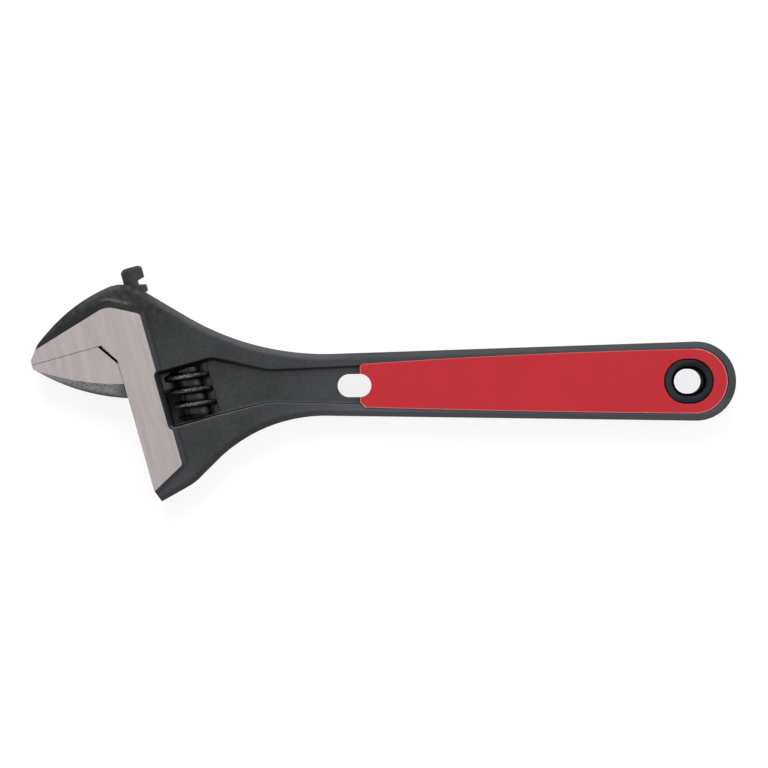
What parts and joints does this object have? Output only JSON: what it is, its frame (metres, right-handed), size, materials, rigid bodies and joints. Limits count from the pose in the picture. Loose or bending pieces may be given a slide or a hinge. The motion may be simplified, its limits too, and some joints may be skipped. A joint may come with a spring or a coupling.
{
  "type": "adjustable wrench",
  "caption": "Forged adjustable wrench with an angled head, a sliding lower jaw on a toothed rack, a thumb worm in its window, and an I-beam handle with a red panel and a hang hole.",
  "frame": {"origin": "middle of the hang hole, at mid thickness", "axes": "+X along the handle to its end, +Y to the fixed-jaw side, +Z square to the flat faces, out of the front with the panel"},
  "size_m": [0.2549, 0.0857, 0.017],
  "materials": {
    "black_forging": "dark grey phosphated forging, satin and finely grained, with brushed ground faces on the head",
    "jaw_steel": "ground faces with fine streaks, speckled grey underside",
    "worm_black": "blackened steel with knurled crests",
    "pin_steel": "dark turned steel",
    "spring_steel": "bright spring wire",
    "red_panel": "red, satin, with a thin pale edge"
  },
  "bodies": {
    "frame_body": {"body": "black_forging", "worm_pin": "pin_steel", "worm_spring": "spring_steel", "handle_panel": "red_panel"},
    "jaw": {"movable_jaw": "jaw_steel"},
    "thumb_worm": {"worm": "worm_black"}
  },
  "joints": [
    {"name": "jaw_slide", "type": "slide", "parent": "frame_body", "child": "jaw", "axis": [0.2588, -0.9659, 0], "range_m": [0, 0.034]},
    {"name": "worm_spin", "type": "hinge", "parent": "frame_body", "child": "thumb_worm", "pos_m": [-0.17965, -0.00189, 0], "axis": [0.2588, -0.9659, 0], "range_deg": [0, 2360]}
  ],
  "couplings": [
    {"joint": "worm_spin", "follows": "jaw_slide", "rad_per_m": 1208.3}
  ]
}
